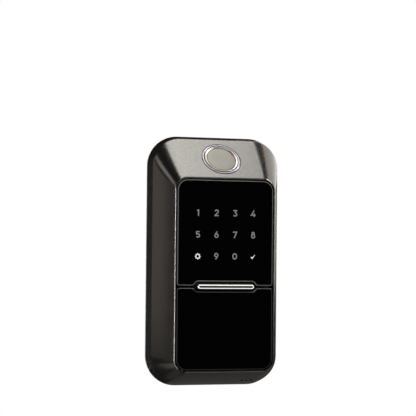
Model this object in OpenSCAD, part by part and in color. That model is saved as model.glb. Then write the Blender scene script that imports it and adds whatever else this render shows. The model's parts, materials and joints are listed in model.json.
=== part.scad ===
// Outdoor keypad unit of a smart deadbolt lock: a die-cast escutcheon with a
// sloping shoulder that carries a fingerprint reader, a black glass touch
// keypad, a chrome lock bar and a flip-up cover over the key cylinder.
// X is to the right, Z is up and the front faces -Y. The origin is on the
// face that lies on the door, on the axis of the key cylinder.

/* [Housing] */
// Width of the housing at the door
body_w = 72; // [70:0.5:76]
// Height of the housing
body_h = 131.4; // [130:0.2:134]
// Depth from the door to the front rim
body_d = 24.7; // [24.4:0.1:26]
// Height of the key cylinder axis above the housing's lower edge
axis_h = 31; // [31:0.5:32]
// Radius of the housing's corners at the door
corner_r = 16; // [15.5:0.1:16.5]
// Depth of the upright side wall before the slopes begin
side_d = 7.4; // [7:0.1:8]
// How far the side wall leans in over its depth
side_lean = 1.45; // [1.2:0.05:1.6]
// Wall thickness of the casting
wall = 2.4; // [2.2:0.1:2.6]

/* [Front rim] */
// Width of the front rim
rim_w = 54.3; // [54:0.1:55]
// Height of the rim's lower edge above the housing's lower edge
rim_low = 8.4; // [8.2:0.1:8.8]
// Height of the rim's upper edge above the housing's lower edge
rim_high = 108.8; // [108.4:0.1:109.2]
// Radius of the rim's corners
rim_r = 6.6; // [6.2:0.1:7]

/* [Glass] */
// Gap between the rim's opening and the two panels
panel_gap = 0.3; // [0.25:0.05:0.35]
// Width of the rim's face around the opening
rim_face = 0.65; // [0.6:0.05:0.75]
// Thickness of the touch glass
glass_t = 1.6; // [1.4:0.1:1.8]
// How far the glass lies behind the rim
glass_sink = 0.1; // [0.05:0.05:0.3]
// Height of the glass's lower edge above the key cylinder axis
split_high = 22; // [22:0.1:22.4]
// Height of the key cover's upper edge above the key cylinder axis
split_low = 20.8; // [20.6:0.1:20.8]

/* [Lock bar] */
// Length of the chrome bar
bar_l = 30.8; // [30:0.2:32]
// Height of the chrome bar
bar_h = 2.4; // [2.2:0.1:2.6]
// How far the bar stands out of the glass
bar_proud = 1.7; // [1.6:0.1:1.9]
// Travel of the bar when it is pressed
bar_travel = 0.8; // [0.6:0.1:0.8]
// Length of the recess around the bar
recess_l = 34; // [33.6:0.2:34.4]
// Height of the recess around the bar
recess_h = 5.6; // [5.4:0.1:5.8]

/* [Fingerprint reader] */
// Distance of its centre up the slope from the rim
reader_up = 13.3; // [13:0.1:13.6]
// Outer radius of the light ring
reader_r = 10.4; // [10:0.1:10.6]
// Outer radius of the metal bezel
bezel_r = 9; // [8.8:0.1:9]
// Radius of the finger pad
pad_r = 7.7; // [7.5:0.1:7.8]

/* [Keys] */
// Distance between two columns of touch keys
key_pitch_x = 10.05; // [9.8:0.05:10.3]
// Distance between two rows of touch keys
key_pitch_z = 11.2; // [11:0.1:11.4]
// Height of the top row of keys above the key cylinder axis
key_top_z = 59.6; // [59:0.1:60]

/* [Key cylinder] */
// Radius of the plug that the key turns
plug_r = 6.35; // [6.3:0.05:6.4]
// Free length of the tailpiece behind the door face
tail_l = 60; // [50:1:70]
// Radius of the spigot that centres the lock in the door's bore
spigot_r = 26.7; // [26.6:0.05:26.8]
// Distance between the two mounting posts
post_pitch = 38.1; // [38:0.1:38.2]
// Radius of the threaded holes in the mounting posts
post_hole_r = 1.65; // [1.6:0.05:1.7]

/* [Hidden] */
$fn = 64;
hull_fn = 32;
eps = 0.01;
running = 0.05;   // radial clearance of a pin that turns in its hole

z_low = -axis_h;
z_high = body_h - axis_h;
rim_z0 = rim_low - axis_h;
rim_z1 = rim_high - axis_h;
open_w = rim_w - 2 * rim_face;
open_z0 = rim_z0 + rim_face;
open_z1 = rim_z1 - rim_face;
open_r = rim_r - rim_face;

// Layers behind the front, measured as depth from the door (y = -depth)
glass_d = body_d - glass_sink;
film_t = 0.3;
guide_t = 0.9;
led_t = 0.8;
pcb_t = 1;
film_d = glass_d - glass_t;
guide_d = film_d - film_t;
guide_back = guide_d - guide_t;
touch_d = guide_back - led_t - 0.1;
shelf_d = touch_d - pcb_t;
shelf_t = 1.5;
board_d = 14.6;
board_t = 1.6;
board_back = board_d - board_t;
ear_d = 10.5;
ear_t = 1.6;
floor_d = 9.5;
floor_t = 1.5;
floor_back = floor_d - floor_t;

// Base plate and gasket
gasket_t = 1;
plate_t = 1.6;
plate_d = gasket_t + plate_t;
gasket_inset = 0.15;
gasket_hole_r = 28.2;    // clear of the door's bore
plate_corner_r = 14;
ring_t = 2.5;
ring_l = 8;
ring_root_r = 26;        // the spigot is thinner where it passes the gasket

// Key cover: its hinge and its two layers
lens_t = 1.4;
lens_back = glass_d - lens_t;
cover_t = 1.2;
cover_back = lens_back - cover_t;
hinge_z = 14.7;
hinge_d = 21.2;
hinge_pin_r = 0.75;
lug_x = 20.5;
lug_w = 2;
lug_r = 1.4;

split_mid = (split_high + split_low) / 2;
cover_z0 = open_z0 + panel_gap;
glass_z1 = open_z1 - panel_gap;
glass_half = open_w / 2 - panel_gap;
glass_r = open_r - panel_gap;

// The shoulder's slope, as a unit vector up the slope and its tilt
slope_z = z_high - side_lean - rim_z1;
slope_y = body_d - side_d;
slope_l = norm([slope_y, slope_z]);
slope_tilt = acos(slope_y / slope_l);
slope_wall = wall * slope_y / slope_l;   // wall thickness square to the slope
ledge_n = 0.9;                            // depth of the ledge that the reader's ring rests on
reader_d = body_d - reader_up * slope_y / slope_l;
reader_z = rim_z1 + reader_up * slope_z / slope_l;

carrier_half = open_w / 2 - 0.2;
carrier_z0 = open_z0 + 0.2;
carrier_z1 = open_z1 - 0.2;
carrier_wall = 1.5;

plate_screw_at = [[-27, -21], [27, -21], [-25, 87], [25, 87]];
ear_screw_at = [[-28.4, -8], [28.4, -8], [-28.4, 60], [28.4, 60]];
board_screw_at = [[-20, 29], [20, 29], [-20, 69], [20, 69]];
magnet_x = 16;
magnet_z = -16.5;
magnet_r = 2.5;
cylinder_screw_at = [[-10.6, -6.1], [10.6, -6.1]];
cylinder_bore_r = plug_r + running;
barrel_r = 9;
bible_w = 9.2;
bible_top = 14;
tumbler_depths = [9.5, 6, 2.5, -1, -4.5];
grommet_z = -19;
bar_back_d = glass_d - 0.4;
guide_front_d = bar_back_d - bar_travel - 1;
guide_back_d = 19;      // back of the block that guides the lock bar
bar_pin_r = 0.8;
clip_t = 0.6;
switch_d = 16.2;
slot_x = [14.0, 16.6, 19.2];
slot_w = 1.8;
slot_h = 1.5;
slot_up = 0.28;    // place on the lower slope, as a part of its depth

// ---------- Helpers ----------

// A plate parallel to the door, from depth d0 back to depth d1, holding 2D children (x, z)
module layer(d0, d1) {
    translate([0, -d1, 0]) rotate([90, 0, 0]) linear_extrude(d0 - d1) children();
}

// A round post or hole along Y from depth d0 back to depth d1
module post(x, z, r, d0, d1) {
    layer(d0, d1) translate([x, z]) circle(r);
}

// A box from its low and high x and z, between two depths
module block(x0, x1, z0, z1, d0, d1) {
    translate([x0, -d0, z0]) cube([x1 - x0, d0 - d1, z1 - z0]);
}

// A rectangle with true round corners, from x -half to half and z0 to z1
module round_rect(half, z0, z1, r) {
    translate([-half + r, z0]) square([2 * (half - r), z1 - z0]);
    translate([-half, z0 + r]) square([2 * half, z1 - z0 - 2 * r]);
    for (x = [-half + r, half - r], z = [z0 + r, z1 - r]) translate([x, z]) circle(r);
}

// A panel with large corners at its lower end and others at its upper end, drawn in by an inset
module panel_outline(z_bottom, z_top, r_bottom, r_top, inset = 0) {
    half = glass_half - inset;
    z0 = z_bottom + inset;
    z1 = z_top - inset;
    r0 = max(r_bottom - inset, 0.5);
    r1 = max(r_top - inset, 0.5);
    translate([-half, z0 + r0]) square([2 * half, z1 - z0 - r0 - r1]);
    translate([-half + r0, z0]) square([2 * (half - r0), r0]);
    translate([-half + r1, z1 - r1]) square([2 * (half - r1), r1]);
    for (side = [-1, 1]) {
        translate([side * (half - r0), z0 + r0]) circle(r0);
        translate([side * (half - r1), z1 - r1]) circle(r1);
    }
}

// A bar with round ends, centred on x = 0 and z = zc
module pill(length, height, zc) {
    translate([-(length - height) / 2, zc - height / 2]) square([length - height, height]);
    for (x = [-1, 1]) translate([x * (length - height) / 2, zc]) circle(height / 2);
}

// A frame standing on the shoulder: Z out of the slope, origin at the reader's centre
module on_slope() {
    translate([0, -reader_d, reader_z]) rotate([slope_tilt, 0, 0]) children();
}

// A screw with its head towards the door: head between head_d and head_d - head_t
module screw(x, z, shank_r, head_r, tip_d, head_d, head_t) {
    post(x, z, shank_r, tip_d, head_d);
    difference() {
        post(x, z, head_r, head_d, head_d - head_t);
        post(x, z, head_r * 0.35, head_d - head_t * 0.5, head_d - head_t - eps);
    }
}

// ---------- Housing ----------

// One outline of the casting at a depth, drawn in by an inset
module casting_slice(inset, depth, half, z0, z1, r) {
    layer(depth, depth - 0.02) round_rect(half - inset, z0 + inset, z1 - inset, r - inset * 0.6);
}

// The casting's outer shape, or its hollow when it is drawn in by the wall
module casting_solid(inset, front_d, back_d) {
    $fn = hull_fn;
    hull() {
        casting_slice(inset, back_d + 0.02, body_w / 2, z_low, z_high, corner_r);
        casting_slice(inset, side_d, body_w / 2 - side_lean, z_low + side_lean,
                      z_high - side_lean, corner_r - side_lean);
    }
    hull() {
        casting_slice(inset, side_d, body_w / 2 - side_lean, z_low + side_lean,
                      z_high - side_lean, corner_r - side_lean);
        casting_slice(inset, front_d, rim_w / 2, rim_z0, rim_z1, rim_r);
    }
}

// Three short slots that let the buzzer sound out of the lower slope
module sound_slots() {
    slot_d = side_d + slot_up * (body_d - side_d);
    slot_z = z_low + side_lean + slot_up * (rim_low - side_lean);
    for (x = slot_x)
        translate([x - slot_w / 2, -slot_d - slot_h / 2, slot_z - 3]) cube([slot_w, slot_h, 6]);
}

// A screw boss with a blind pilot hole open towards the door
module boss(p, r, hole_r, d0, d1) {
    difference() {
        post(p[0], p[1], r, d0, d1);
        post(p[0], p[1], hole_r, d0 - 1.2, d1 - eps);
    }
}

module housing() {
    color([0.23, 0.21, 0.20]) {
        difference() {
            casting_solid(0, body_d, gasket_t);
            casting_solid(wall, body_d + eps, 0);
            layer(body_d + 1, body_d - 7) round_rect(open_w / 2, open_z0, open_z1, open_r);
            on_slope() {
                translate([0, 0, -ledge_n]) cylinder(r = reader_r + 0.15, h = 6);
                translate([0, 0, -6]) cylinder(r = bezel_r + 0.45, h = 12);
            }
            sound_slots();
        }
        for (p = plate_screw_at) boss(p, 3.2, 1.25, 12.5, plate_d);
        for (p = ear_screw_at) boss(p, 2.2, 0.9, 15.2, ear_d);
    }
}

// ---------- Inner frame ----------

// Walls, hinge arm and ear of the right-hand side
module carrier_side() {
    inner_x = carrier_half - carrier_wall;
    block(inner_x, carrier_half, split_high, carrier_z1 - glass_r, film_d, floor_back);
    block(inner_x, carrier_half, carrier_z0 + glass_r, 6.5, hinge_d, floor_back);
    block(lug_x - lug_w / 2, lug_x + lug_w / 2, hinge_z - lug_r, hinge_z + lug_r, hinge_d, floor_back);
    translate([lug_x - lug_w / 2, -hinge_d, hinge_z]) rotate([0, 90, 0]) cylinder(r = lug_r, h = lug_w);
    for (p = ear_screw_at)
        if (p[0] > 0) block(inner_x, p[0] + 1.8, p[1] - 3, p[1] + 3, ear_d, ear_d - ear_t);
    post(magnet_x, magnet_z, magnet_r + 1, hinge_d, floor_back);
}

module panel_carrier() {
    color([0.09, 0.09, 0.10]) difference() {
        union() {
            // shelf behind the keypad
            layer(shelf_d, shelf_d - shelf_t)
                round_rect(carrier_half, split_high, carrier_z1, glass_r);
            carrier_side();
            mirror([1, 0, 0]) carrier_side();
            // wall between the keypad and the key compartment, with the lock bar's guide
            block(-carrier_half, carrier_half, split_high, split_high + carrier_wall, film_d, floor_back);
            block(-16, 16, split_mid - 1.15, split_high + eps, guide_front_d, guide_back_d);
            // compartment floor and its lower wall
            layer(floor_d, floor_back) round_rect(carrier_half, carrier_z0, split_high + 1, glass_r);
            block(-carrier_half + glass_r, carrier_half - glass_r, carrier_z0, carrier_z0 + carrier_wall,
                  hinge_d, floor_back);
            for (p = board_screw_at) post(p[0], p[1], 2.6, shelf_d - shelf_t + eps, board_d);
        }
        for (p = ear_screw_at) post(p[0], p[1], 1.1, ear_d + 1, ear_d - 3);
        for (p = board_screw_at) post(p[0], p[1], 0.9, board_d + 2.4, board_d - 1);
        for (x = [-1, 1]) {
            post(x * magnet_x, magnet_z, magnet_r, hinge_d + 1, hinge_d - 2);
            translate([x * lug_x - lug_w, -hinge_d, hinge_z]) rotate([0, 90, 0])
                cylinder(r = hinge_pin_r + running, h = 2 * lug_w);
        }
        post(0, 0, 15.2, floor_d + 1, floor_back - 1);
        for (x = [-11, 0, 11]) post(x, split_mid, bar_pin_r + running, 23, 16.8);
        block(-5.2, 5.2, split_mid - 3, split_high + carrier_wall + eps, guide_back_d, floor_d);
    }
}

module carrier_screws() {
    color([0.60, 0.60, 0.62]) for (p = ear_screw_at)
        screw(p[0], p[1], 0.9, 1.7, 13.6, ear_d - ear_t, 1.2);
}

// ---------- Keypad ----------

module touch_glass() {
    color([0.02, 0.02, 0.025]) layer(glass_d, film_d) difference() {
        panel_outline(split_high, glass_z1, 1, glass_r);
        pill(recess_l, recess_h, split_mid);
    }
}

// The layers behind the glass share one outline, drawn in by an inset
module keypad_outline(inset = 0) {
    round_rect(carrier_half - carrier_wall - 0.2 - inset, split_high + 3.2 + inset,
               glass_z1 - 1 - inset, 3 - inset);
}

module legend_film() {
    color([0.12, 0.12, 0.13]) layer(film_d, guide_d) keypad_outline();
}

module light_guide() {
    color([0.86, 0.90, 0.92]) {
        layer(guide_d, guide_back) keypad_outline();
        layer(guide_back + eps, touch_d) difference() {
            keypad_outline();
            keypad_outline(1.2);
        }
    }
}

module touch_board() {
    color([0.05, 0.22, 0.13]) layer(touch_d, shelf_d) keypad_outline();
}

module key_lights() {
    color([0.95, 0.93, 0.80])
        for (column = [-1.5:1:1.5], row = [0:2])
            translate([column * key_pitch_x - 0.8, -touch_d - led_t, key_top_z - row * key_pitch_z - 0.4])
                cube([1.6, led_t, 0.8]);
}

// ---------- Main board ----------

module main_board() {
    color([0.05, 0.22, 0.13]) difference() {
        layer(board_d, board_back) round_rect(22.6, 26, 72, 2);
        for (p = board_screw_at) post(p[0], p[1], 1, board_d + 1, board_back - 1);
    }
}

// One processor, one radio can, one driver and two round capacitors
module board_chips() {
    color([0.13, 0.13, 0.14]) {
        block(-6, 6, 50, 62, board_back, board_back - 1.4);
        block(10, 19, 44, 56, board_back, board_back - 2);
        block(-17, -11, 44, 52, board_back, board_back - 1.2);
        post(-14, 59, 2.6, board_back, board_back - 3.6);
        post(-14, 37, 2.6, board_back, board_back - 3.6);
    }
}

// Open header that the harness from the indoor unit plugs into
module harness_socket() {
    color([0.90, 0.88, 0.82]) difference() {
        block(-7, 7, 28, 34, board_back, board_back - 4.5);
        block(-6.2, 6.2, 28.8, 33.2, board_back - 1, board_back - 5);
    }
}

module board_screws() {
    color([0.60, 0.60, 0.62]) for (p = board_screw_at)
        screw(p[0], p[1], 0.9, 1.7, board_d + 2.3, board_back, 1.1);
}

// ---------- Fingerprint reader ----------

module reader_light_ring() {
    color([0.66, 0.68, 0.78]) on_slope() translate([0, 0, -ledge_n]) rotate_extrude()
        polygon([[bezel_r + 0.1, 0], [reader_r, 0], [reader_r, ledge_n - 0.1],
                 [reader_r - 0.2, ledge_n + 0.15], [bezel_r + 0.1, ledge_n + 0.15]]);
}

module reader_bezel() {
    color([0.80, 0.72, 0.58]) on_slope() translate([0, 0, -ledge_n]) rotate_extrude()
        polygon([[pad_r + 0.1, 0], [bezel_r, 0], [bezel_r, ledge_n + 0.1],
                 [pad_r + 0.45, ledge_n + 0.4], [pad_r + 0.1, ledge_n + 0.05]]);
}

module reader_pad() {
    color([0.42, 0.40, 0.38]) on_slope() translate([0, 0, -ledge_n]) cylinder(r = pad_r, h = ledge_n - 0.1);
}

module reader_module() {
    color([0.10, 0.10, 0.11]) on_slope() translate([0, 0, -5]) cylinder(r = bezel_r + 0.3, h = 5 - ledge_n);
}

module reader_clamp() {
    color([0.55, 0.55, 0.57]) on_slope() translate([0, 0, -3.4]) difference() {
        cylinder(r = 11.6, h = 3.4 - slope_wall);
        translate([0, 0, -eps]) cylinder(r = bezel_r + 0.35, h = 4);
    }
}

// ---------- Lock bar ----------

module lock_bar() {
    front = glass_d + bar_proud;
    color([0.82, 0.83, 0.85]) difference() {
        union() {
            layer(front, bar_back_d) pill(bar_l, bar_h, split_mid);
            for (x = [-11, 0, 11])
                post(x, split_mid, bar_pin_r, bar_back_d + eps, x == 0 ? 17 : 18);
        }
        layer(front + 1, front - 0.5) pill(bar_l - 3, 0.8, split_mid);
    }
}

module bar_window() {
    front = glass_d + bar_proud;
    color([0.12, 0.12, 0.13]) layer(front - 0.15, front - 0.5) pill(bar_l - 3, 0.8, split_mid);
}

module bar_clip() {
    color([0.60, 0.60, 0.62]) difference() {
        post(0, split_mid, 1.5, guide_back_d - 0.1, guide_back_d - 0.1 - clip_t);
        post(0, split_mid, bar_pin_r, guide_back_d + 1, guide_back_d - 2);
    }
}

// Coil spring drawn as its separate turns along an axis
module coil_turns(r, wire, length, turns) {
    for (i = [0:turns - 1])
        translate([0, 0, wire + i * (length - 2 * wire) / (turns - 1)]) rotate_extrude($fn = 32)
            translate([r, 0]) circle(r = wire, $fn = 16);
}

module bar_spring() {
    front = guide_back_d - 0.1 - clip_t;
    color([0.75, 0.75, 0.77]) translate([0, -switch_d, split_mid]) rotate([90, 0, 0])
        coil_turns(1.35, 0.15, front - switch_d, 5);
}

module bar_switch() {
    color([0.10, 0.10, 0.11]) difference() {
        block(-3, 3, split_mid - 1.5, split_mid + 1.7, switch_d, 12.8);
        post(0, split_mid, 1, switch_d + 1, 14.2);
    }
}

module switch_plunger() {
    color([0.85, 0.30, 0.20]) post(0, split_mid, 0.9, 17, 15.4);
}

module switch_board() {
    color([0.05, 0.22, 0.13]) block(-5, 5, split_mid - 1.7, split_mid + 2, 12.8, 11.8);
}

// ---------- Key cover ----------

module cover_lens() {
    color([0.02, 0.02, 0.025]) layer(glass_d, lens_back) difference() {
        panel_outline(cover_z0, split_low, glass_r, 1);
        pill(recess_l, recess_h, split_mid);
    }
}

// Ears that stand behind the cover and hold the hinge pins
module hinge_ear(x0, x1) {
    translate([x0, -hinge_d, hinge_z]) rotate([0, 90, 0]) cylinder(r = 1.7, h = x1 - x0);
}

module cover_frame() {
    ears = [[lug_x - 3.6, lug_x - 2.1], [lug_x + 2.1, lug_x + 3.6]];
    color([0.09, 0.09, 0.10]) difference() {
        union() {
            layer(lens_back, cover_back) difference() {
                panel_outline(cover_z0, split_low, glass_r, 1, 0.5);
                pill(recess_l + 1, recess_h + 1, split_mid);
                for (s = [-1, 1]) translate([s * lug_x - 1.6, hinge_z - 2.2]) square([3.2, 12]);
            }
            for (e = ears) {
                hinge_ear(e[0], e[1]);
                hinge_ear(-e[1], -e[0]);
            }
        }
        for (s = [-1, 1]) {
            post(s * magnet_x, magnet_z, magnet_r, lens_back + eps, cover_back - eps);
            translate([s * lug_x - 3.6, -hinge_d, hinge_z]) rotate([0, 90, 0])
                cylinder(r = hinge_pin_r, h = 7.2);
        }
    }
}

module hinge_pins() {
    color([0.70, 0.70, 0.72]) for (s = [-1, 1])
        translate([s * lug_x - 3.6, -hinge_d, hinge_z]) rotate([0, 90, 0]) cylinder(r = hinge_pin_r, h = 7.2);
}

module cover_magnets() {
    color([0.72, 0.72, 0.74]) for (s = [-1, 1]) post(s * magnet_x, magnet_z, magnet_r, lens_back, cover_back);
}

module catch_magnets() {
    color([0.72, 0.72, 0.74]) for (s = [-1, 1])
        post(s * magnet_x, magnet_z, magnet_r, hinge_d, hinge_d - 2);
}

// ---------- Key cylinder ----------

module key_guide_ring() {
    color([0.30, 0.29, 0.28]) translate([0, -floor_d, 0]) rotate([90, 0, 0]) rotate_extrude()
        polygon([[barrel_r + 0.1, 2.2], [15.4, 2.2], [15.4, 0], [16.6, 0], [16.6, 2.6],
                 [15.8, 3.4], [barrel_r + 0.9, 3.4], [barrel_r + 0.1, 3]]);
}

module cylinder_body() {
    color([0.78, 0.72, 0.55]) difference() {
        union() {
            post(0, 0, barrel_r, 13.6, -8);
            block(-bible_w / 2, bible_w / 2, 5, bible_top, 11.6, -7);
            post(0, 0, 14.5, plate_d + 1.5, plate_d);
        }
        post(0, 0, cylinder_bore_r, 15, -9);
        for (d = tumbler_depths) translate([0, -d, 6]) cylinder(r = 1.4, h = 7.2);
        for (p = cylinder_screw_at) post(p[0], p[1], 1.25, 6, 0);
    }
}

module key_plug() {
    color([0.85, 0.76, 0.50]) difference() {
        union() {
            post(0, 0, plug_r, 13.9, -8);
            post(0, 0, 5.2, -8 + eps, -10.6);
        }
        // keyway with one side ward
        block(-1, 1, -4.6, 3.4, 15, -3.5);
        block(-1.7, 0, -1.4, 0.4, 15, -3.5);
        // socket for the tailpiece
        block(-4, 4, -1.2, 1.2, -5, -11);
        for (d = tumbler_depths) translate([0, -d, 1]) cylinder(r = 1.35, h = 7);
    }
}

// Key pins stand at the shear line, as they do with the right key in
module key_pins() {
    color([0.85, 0.76, 0.50]) for (d = tumbler_depths) translate([0, -d, 3.5]) cylinder(r = 1.3, h = 2.7);
}

module driver_pins() {
    color([0.85, 0.76, 0.50]) for (d = tumbler_depths) translate([0, -d, 6.6]) cylinder(r = 1.35, h = 2.9);
}

module tumbler_springs() {
    color([0.75, 0.75, 0.77]) for (d = tumbler_depths) translate([0, -d, 9.5]) coil_turns(1.1, 0.15, 3.6, 4);
}

module tailpiece() {
    color([0.68, 0.68, 0.70]) block(-3.9, 3.9, -1.1, 1.1, -5.1, -tail_l);
}

module tail_cap() {
    color([0.60, 0.60, 0.62]) difference() {
        post(0, 0, 8.4, -8.1, -10.2);
        post(0, 0, 5.2, -7, -12);
    }
}

module cylinder_screws() {
    color([0.60, 0.60, 0.62]) for (p = cylinder_screw_at)
        screw(p[0], p[1], 1.25, 2.3, plate_d + 1.4, gasket_t, 1.6);
}

// ---------- Back ----------

module buzzer() {
    color([0.10, 0.10, 0.11]) block(11, 22, -25.6, -21.9, 9.6, 3.6);
}

module base_plate() {
    color([0.62, 0.63, 0.65]) difference() {
        layer(plate_d, gasket_t) round_rect(32.8, z_low + 3.2, z_high - 3.2, plate_corner_r);
        post(0, 0, barrel_r + 0.2, 4, 0);
        block(-bible_w / 2 - 0.2, bible_w / 2 + 0.2, 0, bible_top + 0.2, 4, 0);
        post(0, grommet_z, 3.2, 4, 0);
        for (x = [-1, 1]) post(x * post_pitch / 2, 0, 3, 4, 0);
        for (p = cylinder_screw_at) post(p[0], p[1], 1.4, 4, 0);
        for (p = plate_screw_at) post(p[0], p[1], 1.4, 4, 0);
    }
}

module plate_screws() {
    color([0.60, 0.60, 0.62]) for (p = plate_screw_at)
        screw(p[0], p[1], 1.25, 2.3, 11, gasket_t, 0.9);
}

module mounting_posts() {
    color([0.80, 0.74, 0.55]) for (x = [-1, 1]) difference() {
        union() {
            post(x * post_pitch / 2, 0, 4, plate_d + 0.8, plate_d);
            post(x * post_pitch / 2, 0, 3, plate_d + eps, gasket_t - eps);
            post(x * post_pitch / 2, 0, 3.8, gasket_t, -12);
        }
        post(x * post_pitch / 2, 0, post_hole_r, 0, -13);
    }
}

module door_gasket() {
    color([0.07, 0.07, 0.07]) difference() {
        layer(gasket_t, 0)
            round_rect(body_w / 2 - gasket_inset, z_low + gasket_inset, z_high - gasket_inset,
                       corner_r - gasket_inset);
        post(0, 0, gasket_hole_r, 2, -1);
        for (p = plate_screw_at) post(p[0], p[1], 2.8, 2, -1);
    }
}

module bore_ring() {
    color([0.12, 0.12, 0.13]) difference() {
        union() {
            post(0, 0, spigot_r, 0, -ring_l);
            post(0, 0, ring_root_r, gasket_t, -eps);
        }
        post(0, 0, spigot_r - ring_t, 2, -ring_l - 1);
    }
}

module cable_grommet() {
    color([0.07, 0.07, 0.07]) difference() {
        union() {
            post(0, grommet_z, 4.2, plate_d + 0.8, plate_d);
            post(0, grommet_z, 3.2, plate_d + eps, gasket_t - eps);
            post(0, grommet_z, 4.2, gasket_t, 0.2);
        }
        post(0, grommet_z, 2.2, 5, -1);
    }
}

housing();
panel_carrier();
carrier_screws();
touch_glass();
legend_film();
light_guide();
touch_board();
key_lights();
main_board();
board_chips();
harness_socket();
board_screws();
reader_light_ring();
reader_bezel();
reader_pad();
reader_module();
reader_clamp();
lock_bar();
bar_window();
bar_clip();
bar_spring();
bar_switch();
switch_board();
switch_plunger();
cover_lens();
cover_frame();
hinge_pins();
cover_magnets();
catch_magnets();
key_guide_ring();
cylinder_body();
key_plug();
key_pins();
driver_pins();
tumbler_springs();
tailpiece();
tail_cap();
cylinder_screws();
buzzer();
base_plate();
plate_screws();
mounting_posts();
door_gasket();
bore_ring();
cable_grommet();
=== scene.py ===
"""Looks of the keypad smart lock: painted housing, glass panels, reader, lock bar and key cylinder.

Lengths in this script are in millimetres and turned into metres where a mesh is made. A point is
(x, depth, z): depth is the distance from the door face towards the viewer, so y = -depth.
"""

import json
import math

import bmesh
import bpy
from mathutils import Matrix, Vector


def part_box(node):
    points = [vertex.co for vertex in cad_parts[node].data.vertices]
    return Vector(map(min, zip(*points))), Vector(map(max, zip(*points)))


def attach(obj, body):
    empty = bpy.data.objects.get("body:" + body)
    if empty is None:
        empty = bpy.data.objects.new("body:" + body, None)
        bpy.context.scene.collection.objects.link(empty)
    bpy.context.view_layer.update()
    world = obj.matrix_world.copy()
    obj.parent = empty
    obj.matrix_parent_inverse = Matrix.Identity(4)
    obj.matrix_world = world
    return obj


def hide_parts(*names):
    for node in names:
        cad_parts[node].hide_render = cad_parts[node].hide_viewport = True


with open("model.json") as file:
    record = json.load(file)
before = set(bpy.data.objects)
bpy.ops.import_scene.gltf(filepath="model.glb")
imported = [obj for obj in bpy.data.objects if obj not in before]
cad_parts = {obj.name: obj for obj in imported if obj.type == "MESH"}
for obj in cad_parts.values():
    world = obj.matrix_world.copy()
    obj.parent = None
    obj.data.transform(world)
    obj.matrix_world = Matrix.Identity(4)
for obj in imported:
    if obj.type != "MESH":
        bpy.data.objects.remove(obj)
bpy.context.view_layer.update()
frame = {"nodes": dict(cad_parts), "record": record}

MM = 0.001


# ---------- Sizes taken from the frame ----------

def node_box(node):
    """Low and high (x, depth, z) of a CAD node, in millimetres."""
    lo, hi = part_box(node)
    return (lo[0] / MM, -hi[1] / MM, lo[2] / MM), (hi[0] / MM, -lo[1] / MM, hi[2] / MM)


house_lo, house_hi = node_box("housing")
glass_lo, glass_hi = node_box("touch_glass")
lens_lo, lens_hi = node_box("cover_lens")
bar_lo, bar_hi = node_box("lock_bar")
ring_lo, ring_hi = node_box("reader_light_ring")

BODY_HALF = house_hi[0]
BODY_Z0, BODY_Z1 = house_lo[2], house_hi[2]
BACK_D, FRONT_D = house_lo[1], house_hi[1]
CORNER_R = 16.0       # corner radius of the body at the door
SIDE_D = 7.4          # depth at which the upright wall turns into the slopes
LEAN = 1.45           # how far the wall leans in by then
WALL = 2.4            # thickness of the cast wall
THROAT = 7.0          # how deep the opening for the panels runs straight back
SIDE_CROWN = 0.32     # how far the side and bottom slopes bulge at their middle

# The opening in the front rim, and the panels in it
PANEL_GAP = 0.42      # gap between the glass and the rim
RIM_FACE = 0.53       # width of the flat face of the rim
OPEN_HALF = glass_hi[0] + PANEL_GAP
OPEN_Z0, OPEN_Z1 = lens_lo[2] - PANEL_GAP, glass_hi[2] + PANEL_GAP
OPEN_R = 6.05         # corner radius of the opening
GLASS_D = glass_hi[1]
GLASS_EDGE = 0.58     # width of the chamfer round each glass panel
GROUND_FROM = 0.19    # how far in from the edge the chamfer turns from polished to ground
EDGE_SOFT = 0.06      # how far the creases of the chamfer are rounded off
SPLIT_MID = (glass_lo[2] + lens_hi[2]) / 2
SPLIT_HALF = 0.45     # half the split; a little narrower than in the CAD, as the edges are chamfered

# The upper slope and the reader on it
RIM_Z1 = OPEN_Z1 + RIM_FACE
SLOPE_IN = FRONT_D - SIDE_D
SLOPE_UP = BODY_Z1 - LEAN - RIM_Z1
SLOPE_TILT = math.atan2(SLOPE_UP, SLOPE_IN)
READER_UP = 13.3      # from the rim up the slope to the reader's centre
READER_R, BEZEL_R, PAD_R = 10.4, 9.0, 7.7
LEDGE = -0.9          # depth of the ledge that the reader's rings and pad stand on

SMOOTH_DEG = 35       # edges flatter than this are shaded smooth
HOUSING_SMOOTH_DEG = 30


# ---------- Mesh helpers ----------

def point(x, depth, z):
    return Vector((x * MM, -depth * MM, z * MM))


def make_piece(name, mesh_data, body, material, hides=()):
    """Turns (points, faces) or a bmesh into an object that rides on a body."""
    mesh = bpy.data.meshes.new(name)
    if isinstance(mesh_data, bmesh.types.BMesh):
        mesh_data.to_mesh(mesh)
        mesh_data.free()
    else:
        mesh.from_pydata(mesh_data[0], [], mesh_data[1])
    bm = bmesh.new()
    bm.from_mesh(mesh)
    bmesh.ops.remove_doubles(bm, verts=bm.verts, dist=1e-7)
    bmesh.ops.recalc_face_normals(bm, faces=bm.faces)
    bm.to_mesh(mesh)
    bm.free()
    mesh.shade_smooth()
    mesh.set_sharp_from_angle(angle=math.radians(SMOOTH_DEG))
    piece = bpy.data.objects.new(name, mesh)
    bpy.context.scene.collection.objects.link(piece)
    piece.data.materials.append(material)
    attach(piece, body)
    if hides:
        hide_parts(*hides)
    return piece


def weight_normals(piece):
    """Keeps the large faces flat in shading, so that only the rounded edges catch the light."""
    weighted = piece.modifiers.new("weighted", "WEIGHTED_NORMAL")
    weighted.keep_sharp = True


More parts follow.
